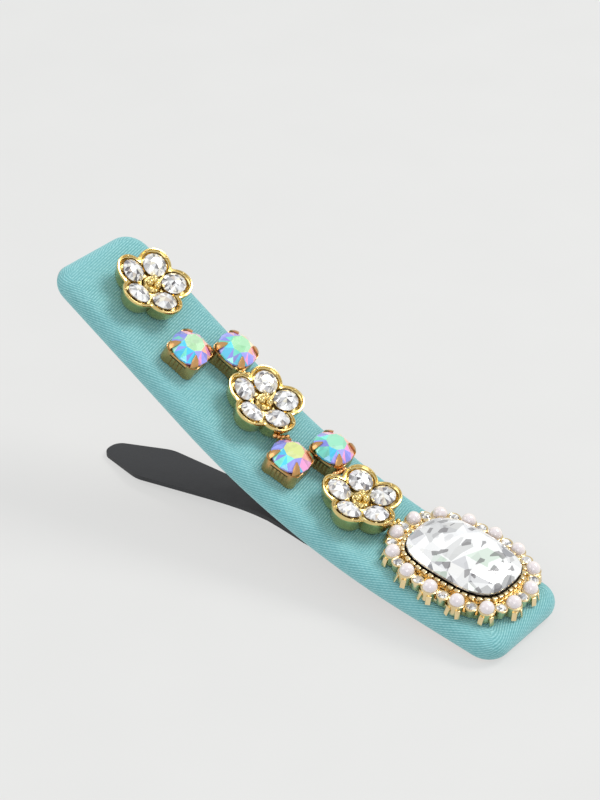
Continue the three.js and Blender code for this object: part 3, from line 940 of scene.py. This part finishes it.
def make_crystal(index):
    """A square cup with rounded corners, fluted walls under a slit painted dark as the shade in a window,
    and four folded claws.
    """
    bm = bmesh.new()
    side = 2 * CRYSTAL_SEAT
    body = add_block(bm, (side, side, 3.2), Matrix.Translation((0, 0, 1.7)))
    upright = [
        edge
        for edge in {e for v in body for e in v.link_edges}
        if abs(edge.verts[0].co.z - edge.verts[1].co.z) > 1
    ]
    bmesh.ops.bevel(bm, geom=upright, offset=1.5, affect="EDGES", segments=5, profile=0.5, material=-1)
    for quarter in range(4):
        spin = Matrix.Rotation(quarter * math.pi / 2, 4, "Z")
        for shift in FLUTES:
            foot = spin @ Vector((CRYSTAL_SEAT - FLUTE_INSET, shift, 0))
            add_rod(bm, 0.52, 0.56, 0.12, 2.6, foot[:2], 16)
        at = spin @ Matrix.Translation((CRYSTAL_SEAT + 0.06, 0, 2.58))
        # The slit is a thin block in the recess material, painted dark as the shade in a window in the
        # wall.
        slit = add_block(bm, (0.3, 3.7, 0.14), at)
        for face in {face for vert in slit for face in vert.link_faces}:
            face.material_index = 1
        at = spin @ Matrix.Translation((CRYSTAL_SEAT, 0, 2.95))
        add_block(bm, (0.55, 3.9, 0.6), at, 0.18)
        corner = spin @ Vector((CRYSTAL_SEAT - CUP_CORNER, CRYSTAL_SEAT - CUP_CORNER, 0))
        add_rod(bm, 1.4, 1.45, 0.1, 3.4, corner[:2], 20)
        make_claw(bm, quarter * math.pi / 2 + math.pi / 4)
    name = f"crystal_{index + 1}"
    stand = on_bar(CRYSTALS[index], CRYSTAL_SPIN, 0.15)
    finish_piece(bm, f"{name}_claw_cup", ROSE_GOLD, [f"{name}_setting"], matrix=stand)
    stone = cut_round_stone(CRYSTAL_STONE, 1.95)
    aurora_facets(stone, 40 + index, TABLE_TONES[index])
    seat = stand @ Matrix.Translation((0, 0, CRYSTAL_HEIGHT))
    finish_piece(stone, f"{name}_cut", AURORA_STONE, [name], smooth=False, matrix=seat)


# ---------------------------------------------------------------- the framed crystal


def make_brooch():
    """The pearl gallery, its well painted dark as shade, its bead band, the cushion crystal, the pearls
    and the small stones.
    """
    stand = on_bar(BROOCH, 0.0, 0.3)
    spots = oval_spots(PEARL_OVAL, PEARL_COUNT)
    between = oval_spots(wider(PEARL_OVAL, -0.05), PEARL_COUNT, 0.25 + 0.5 / PEARL_COUNT)

    bm = bmesh.new()
    add_oval_wall(bm, wider(PEARL_OVAL, 0.1), 0.0, 0.8)
    add_oval_wall(bm, wider(PEARL_OVAL, -0.5), 0.5, 1.95)
    add_oval_wall(bm, wider(CENTRE_OVAL, 0.5), 0.5, CENTRE_HEIGHT - 0.5)
    for spot, out in spots:
        add_rod(bm, 1.3, 1.52, 0.2, PEARL_HEIGHT - 0.4, spot[:2], 20)
        add_rim(bm, 1.42, WIRE, (spot.x, spot.y, PEARL_HEIGHT - 0.4), 20, 6)
        for swing in (-0.6, 0.6):
            add_tab(bm, spot, out + swing, 1.5, PEARL_HEIGHT - 1.0, 0.95)
    for spot, _ in between:
        add_rod(bm, 0.8, 1.2, 0.5, PEARL_HEIGHT - 0.3, spot[:2], 20)
        add_rim(bm, 1.06, WIRE, (spot.x, spot.y, PEARL_HEIGHT - 0.3), 20, 6)
    finish_piece(bm, "frame_gallery", PALE_GOLD, ["brooch_setting"], matrix=stand)

    bm = bmesh.new()
    # A dark oval wall under the cushion crystal: painted shade beneath the stone's edge.
    add_oval_wall(bm, wider(CENTRE_OVAL, 0.16), 0.6, CENTRE_HEIGHT - 0.3)
    finish_piece(bm, "painted_shade_well", PAINTED_SHADE, matrix=stand)

    bm = bmesh.new()
    for spot, out in oval_spots(wider(CENTRE_OVAL, 0.55), BEAD_COUNT):
        at = Matrix.Translation((spot.x, spot.y, CENTRE_HEIGHT - 0.75)) @ Matrix.Rotation(out, 4, "Z")
        add_block(bm, (0.62, 1.0, 1.2), at, 0.12)
    finish_piece(bm, "square_bead_band", PALE_GOLD, ["bead_band"], matrix=stand)

    seat = stand @ Matrix.Translation((0, 0, CENTRE_HEIGHT))
    stone = cut_centre_crystal()
    node = ["centre_crystal"]
    finish_piece(stone, "cushion_crystal", CENTRE_STONE, node, smooth=False, matrix=seat)

    for k, (spot, _) in enumerate(spots):
        bm = bmesh.new()
        add_ball(bm, PEARL_RADIUS, (spot.x, spot.y, PEARL_HEIGHT), 20, 28)
        finish_piece(bm, f"round_pearl_{k + 1}", PEARL, [f"pearl_{k + 1}"], matrix=stand)
    for k, (spot, out) in enumerate(between):
        stone = cut_round_stone(SMALL_STONE, 0.42)
        reflection_facets(stone, 300 + k, REFLECTION_TONES)
        seat = stand @ Matrix.Translation((spot.x, spot.y, PEARL_HEIGHT - 0.25))
        seat = seat @ Matrix.Rotation(out, 4, "Z")
        name = f"small_stone_{k + 1}"
        finish_piece(stone, name, CLEAR_STONE, smooth=False, matrix=seat)


def add_oval_wall(bm, shape, z0, z1):
    """A closed oval block of the given height."""
    loft(bm, [oval_ring(bm, 96, shape, z0), oval_ring(bm, 96, shape, z1)])


def add_tab(bm, spot, out, reach, height, width):
    """A flat tab that stands against a cup and splays out at its foot."""
    made = add_block(bm, (0.34, width, height), Matrix.Translation((reach, 0, height / 2 + 0.1)), 0.1)
    for vert in made:
        vert.co.x += 0.45 * (1 - vert.co.z / height) ** 2
    turn = Matrix.Translation((spot.x, spot.y, 0)) @ Matrix.Rotation(out, 4, "Z")
    bmesh.ops.transform(bm, matrix=turn, verts=made)


def make_links():
    """Short soldered rows of beads where neighbouring settings meet."""
    links = [
        ((72.3, 2.8), 2.9, 0.5, YELLOW_GOLD),
        ((57.7, -1.4), 2.6, 0.9, ROSE_GOLD),
        ((45.3, 1.4), 2.8, 1.4, ROSE_GOLD),
        ((31.0, -0.4), 2.4, 1.2, YELLOW_GOLD),
    ]
    for index, (place, height, angle, material) in enumerate(links):
        bm = bmesh.new()
        for k in (-1.5, -0.5, 0.5, 1.5):
            at = (0.82 * k * math.cos(angle), 0.82 * k * math.sin(angle), height + 0.22 * abs(k))
            add_ball(bm, 0.5, at, 8, 12)
        add_rod(bm, 0.5, 0.4, 0.0, height, segments=12)
        stand = on_bar(place, 0.0, 0.2)
        finish_piece(bm, f"gold_link_{index + 1}", material, matrix=stand)


# ---------------------------------------------------------------- carried-over metal and layers


def paint_node(node, material):
    shown = frame["nodes"][node]
    shown.data.materials.clear()
    shown.data.materials.append(material)


make_cover()
for flower in range(len(FLOWERS)):
    make_flower(flower)
for crystal in range(len(CRYSTALS)):
    make_crystal(crystal)
make_brooch()
make_links()
for node, material in (
    ("upper_plate", BLACK_ENAMEL),
    ("lower_jaw", BLACK_ENAMEL),
    ("hinge_pin", SPRING_STEEL),
    ("torsion_spring", SPRING_STEEL),
    ("backing", LINING),
    ("foam_pad", FOAM),
    ("stiffener", BOARD),
):
    paint_node(node, material)


# ---------------------------------------------------------------- floor, light and camera

LIGHT_AIM = Vector((0.0, 0.0, 0.01))


def make_floor():
    bm = bmesh.new()
    bmesh.ops.create_grid(bm, x_segments=1, y_segments=1, size=3.0)
    mesh = bpy.data.meshes.new("floor")
    bm.to_mesh(mesh)
    bm.free()
    floor = bpy.data.objects.new("floor", mesh)
    bpy.context.scene.collection.objects.link(floor)
    material, n, shader = new_material("pale_table", Roughness=0.9, Specular_IOR_Level=0.1)
    grain = n.noise(n.object_place(), 40.0, 2.0)
    n.put(shader["Base Color"], n.mix(grain, linear(111, 111, 110), linear(114, 114, 113)))
    n.put(shader["Emission Color"], n.mix(grain, linear(206, 206, 205), linear(208, 208, 207)))
    shader["Emission Strength"].default_value = 0.93
    mesh.materials.append(material)


def make_light(name, at, size, power, color=(1, 1, 1)):
    light = bpy.data.lights.new(name, "AREA")
    light.shape = "DISK"
    light.size = size
    light.energy = power
    light.color = color
    lamp = bpy.data.objects.new(name, light)
    lamp.location = at
    lamp.rotation_euler = (LIGHT_AIM - Vector(at)).to_track_quat("-Z", "Y").to_euler()
    bpy.context.scene.collection.objects.link(lamp)


def make_world():
    world = bpy.data.worlds.new("studio")
    bpy.context.scene.world = world
    world.use_nodes = True
    background = world.node_tree.nodes["Background"]
    background.inputs["Color"].default_value = (0.93, 0.95, 0.97, 1.0)
    background.inputs["Strength"].default_value = 0.8


# The camera, in radians and millimetres: its way round and up, its offset along its own axes, and how
# far its aim lies from the foot of the bar's brooch end.
CAMERA_AZIMUTH = 0.659
CAMERA_ELEVATION = 0.552
CAMERA_OFFSET = Vector((4.662, 15.044, 433.99))
AIM_BACK = Vector((-45.0, 0.0, 15.0))
CAMERA_LENS = 108.0


def make_camera():
    """The camera stands at its azimuth and elevation round the bar, with no roll."""
    sin_a, cos_a = math.sin(CAMERA_AZIMUTH), math.cos(CAMERA_AZIMUTH)
    sin_e, cos_e = math.sin(CAMERA_ELEVATION), math.cos(CAMERA_ELEVATION)
    back = Vector((sin_a * cos_e, -cos_a * cos_e, sin_e))
    right = Vector((cos_a, sin_a, 0.0))
    down = (-back).cross(right)
    near_end = bar_point(0, 0, 0)
    aim = Vector((near_end.x, near_end.y, 0.0)) + AIM_BACK
    place = aim - (right * CAMERA_OFFSET.x + down * CAMERA_OFFSET.y - back * CAMERA_OFFSET.z)
    data = bpy.data.cameras.new("camera")
    data.lens = CAMERA_LENS
    data.clip_start = 0.01
    data.clip_end = 20.0
    camera = bpy.data.objects.new("camera", data)
    facing = Matrix((right, -down, back)).transposed().to_4x4()
    camera.matrix_world = Matrix.Translation(place * MM) @ facing
    bpy.context.scene.collection.objects.link(camera)
    bpy.context.scene.camera = camera


make_floor()
make_world()
make_light("key_softbox", (0.35, 0.45, 0.75), 0.45, 5.5, (1.0, 0.99, 0.97))
make_light("fill_softbox", (-0.6, -0.5, 0.55), 0.7, 2.2, (0.97, 0.99, 1.0))
make_light("front_softbox", (0.5, -0.6, 0.45), 0.5, 1.6)
make_camera()
bpy.context.scene.view_settings.view_transform = "Standard"
